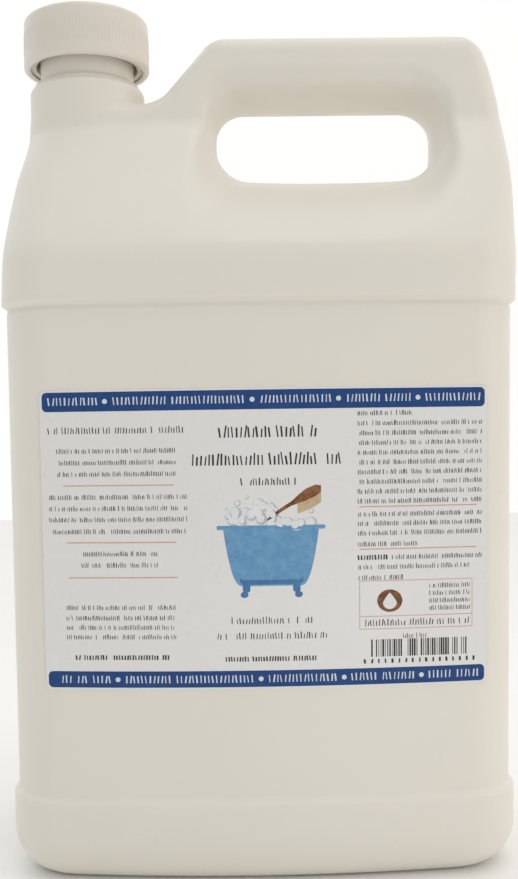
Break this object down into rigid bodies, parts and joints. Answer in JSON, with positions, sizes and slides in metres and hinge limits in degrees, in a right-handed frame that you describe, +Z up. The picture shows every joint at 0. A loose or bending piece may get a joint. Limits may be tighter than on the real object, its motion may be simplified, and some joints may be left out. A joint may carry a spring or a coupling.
{
  "type": "shampoo bottle",
  "caption": "Large oblong plastic jug of pet shampoo with a see-through carry handle, a ribbed push-and-turn screw cap and a printed front label.",
  "frame": {"origin": "centre of the base, on the surface that the jug stands on", "axes": "+Z up, front label towards -Y, neck towards -X and handle towards +X"},
  "size_m": [0.183, 0.11, 0.3131],
  "materials": {
    "jug_plastic": "blow-moulded satin",
    "shampoo": "pearly liquid",
    "label_film": "satin film",
    "inner_cap_plastic": "moulded satin",
    "outer_cap_plastic": "moulded satin",
    "liner_foam": "foam"
  },
  "bodies": {
    "bottle_body": {"jug": "jug_plastic", "shampoo_fill": "shampoo", "front_label": "label_film"},
    "liner_body": {"cap_liner": "liner_foam"},
    "inner_cap_body": {"inner_cap": "inner_cap_plastic"},
    "outer_cap_body": {"outer_cap": "outer_cap_plastic"}
  },
  "joints": [
    {"name": "cap_rise", "type": "slide", "parent": "bottle_body", "child": "liner_body", "axis": [0, 0, 1], "range_m": [0, 0.0064]},
    {"name": "cap_turn", "type": "hinge", "parent": "liner_body", "child": "inner_cap_body", "pos_m": [-0.063, 0, 0.3], "axis": [0, 0, 1], "range_deg": [0, 540]},
    {"name": "cap_push", "type": "slide", "parent": "inner_cap_body", "child": "outer_cap_body", "axis": [0, 0, -1], "range_m": [0, 0.0012], "stiffness_N_per_m": 8000}
  ],
  "couplings": [
    {"joint": "cap_rise", "follows": "cap_turn", "m_per_rad": 0.00067376}
  ]
}
